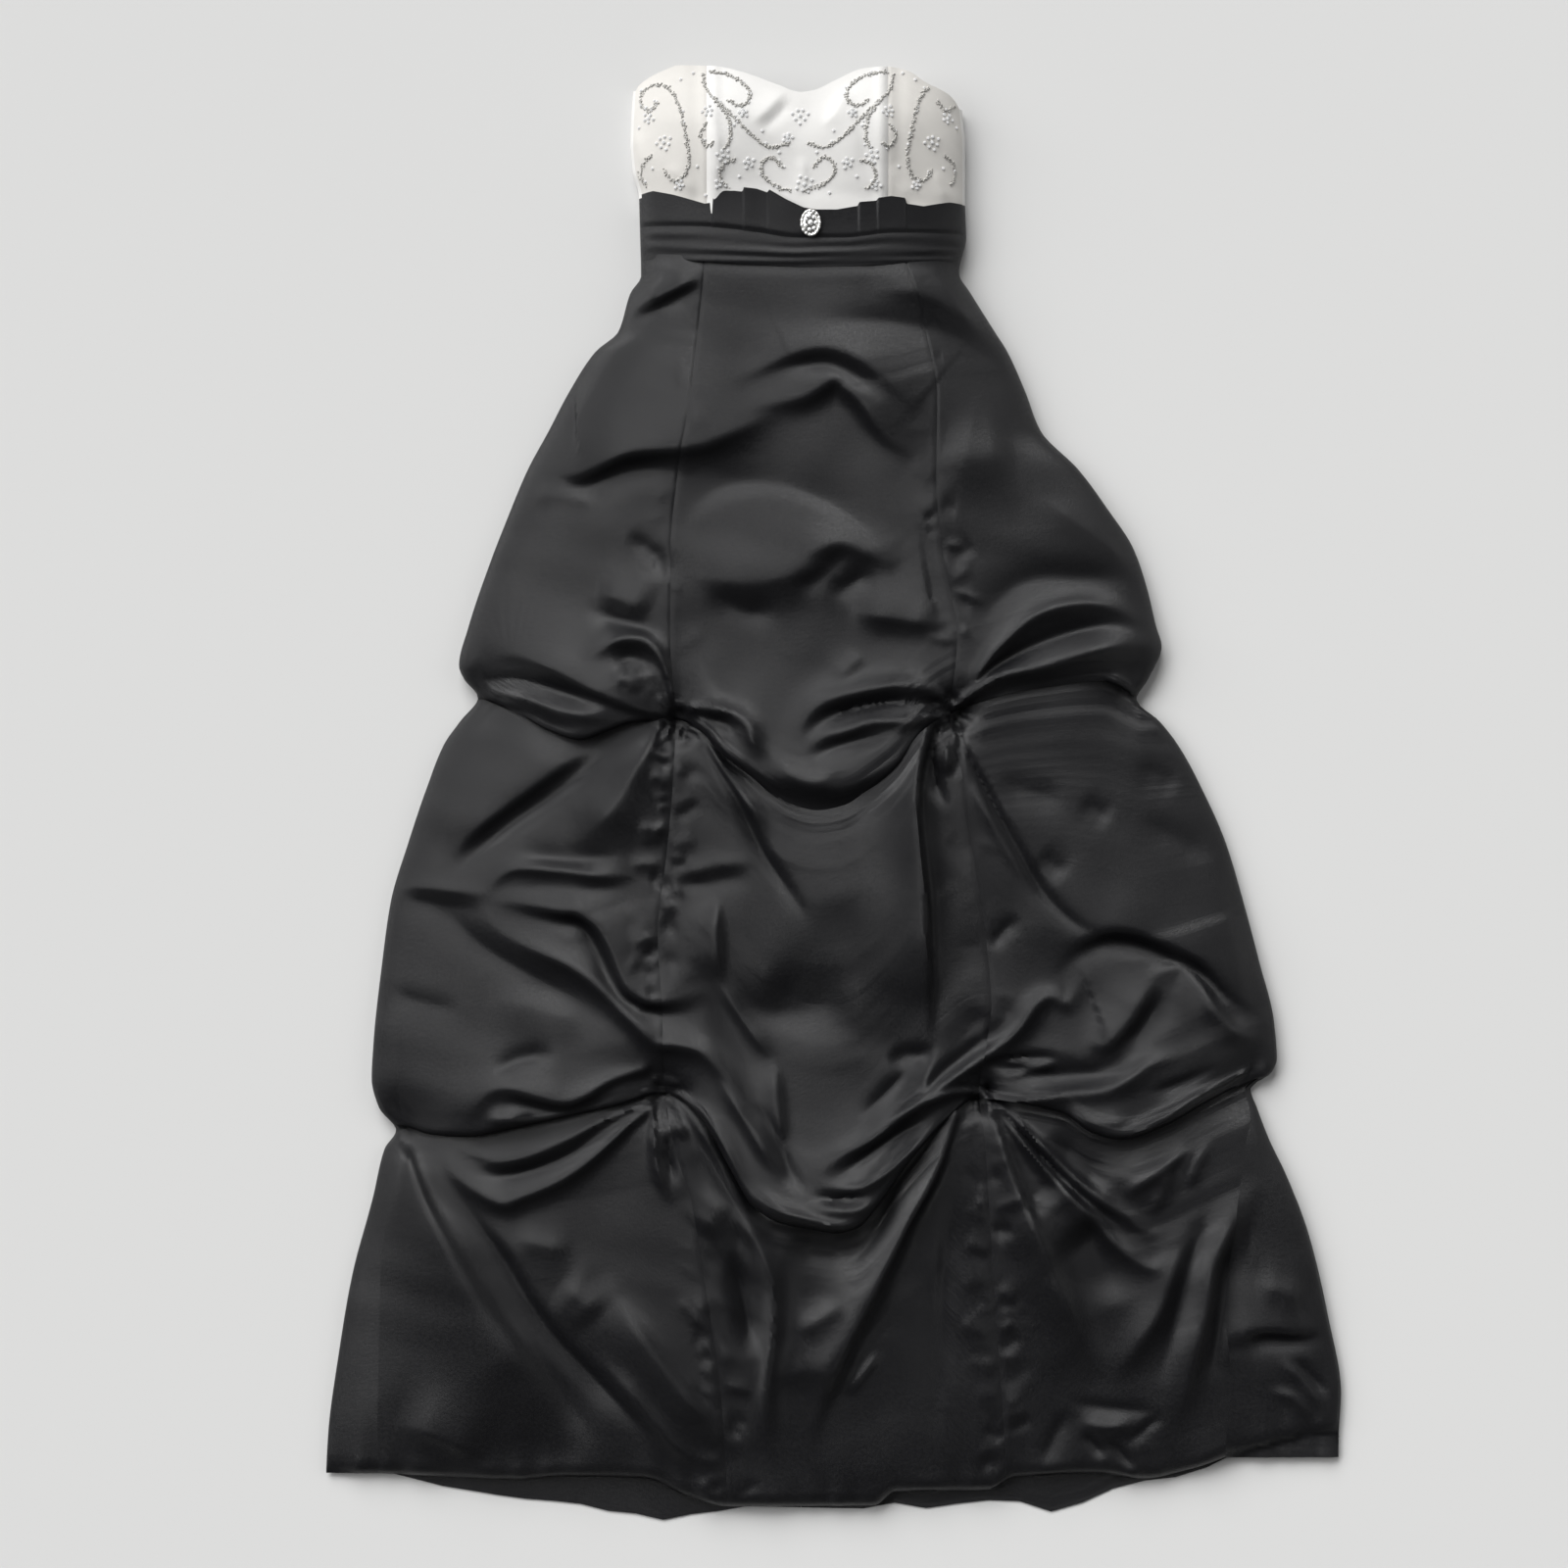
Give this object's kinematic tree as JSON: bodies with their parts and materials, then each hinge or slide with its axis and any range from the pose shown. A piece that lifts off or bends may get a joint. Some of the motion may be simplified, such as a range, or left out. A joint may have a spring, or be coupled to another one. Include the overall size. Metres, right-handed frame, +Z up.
{
  "type": "strapless corset gown",
  "caption": "Strapless corset gown lying flat: boned bodice, tucked waistband with a brooch, ruched sash, and a floor-length skirt gathered up into puffs.",
  "frame": {"origin": "on the surface the gown lies on, under the middle of its outline", "axes": "+X across the gown to the viewer's right, +Y along it from the hem to the neck, +Z up from the surface"},
  "size_m": [0.9773, 1.3969, 0.0577],
  "materials": {
    "white_satin": "satin with a soft sheen",
    "black_satin": "satin with a soft sheen",
    "silver": "polished filigree with clear stones"
  },
  "bodies": {
    "root": {"bodice_front_centre": "white_satin", "bodice_side_front_left": "white_satin", "bodice_side_front_right": "white_satin", "bodice_back_left": "white_satin", "bodice_back_right": "white_satin", "waistband_front": "black_satin", "sash_front": "black_satin", "waistband_back_left": "black_satin", "waistband_back_right": "black_satin", "brooch": "silver", "skirt_front_left": "black_satin", "skirt_front_centre": "black_satin", "skirt_front_right": "black_satin", "skirt_back_left": "black_satin", "skirt_back_right": "black_satin"}
  },
  "joints": []
}
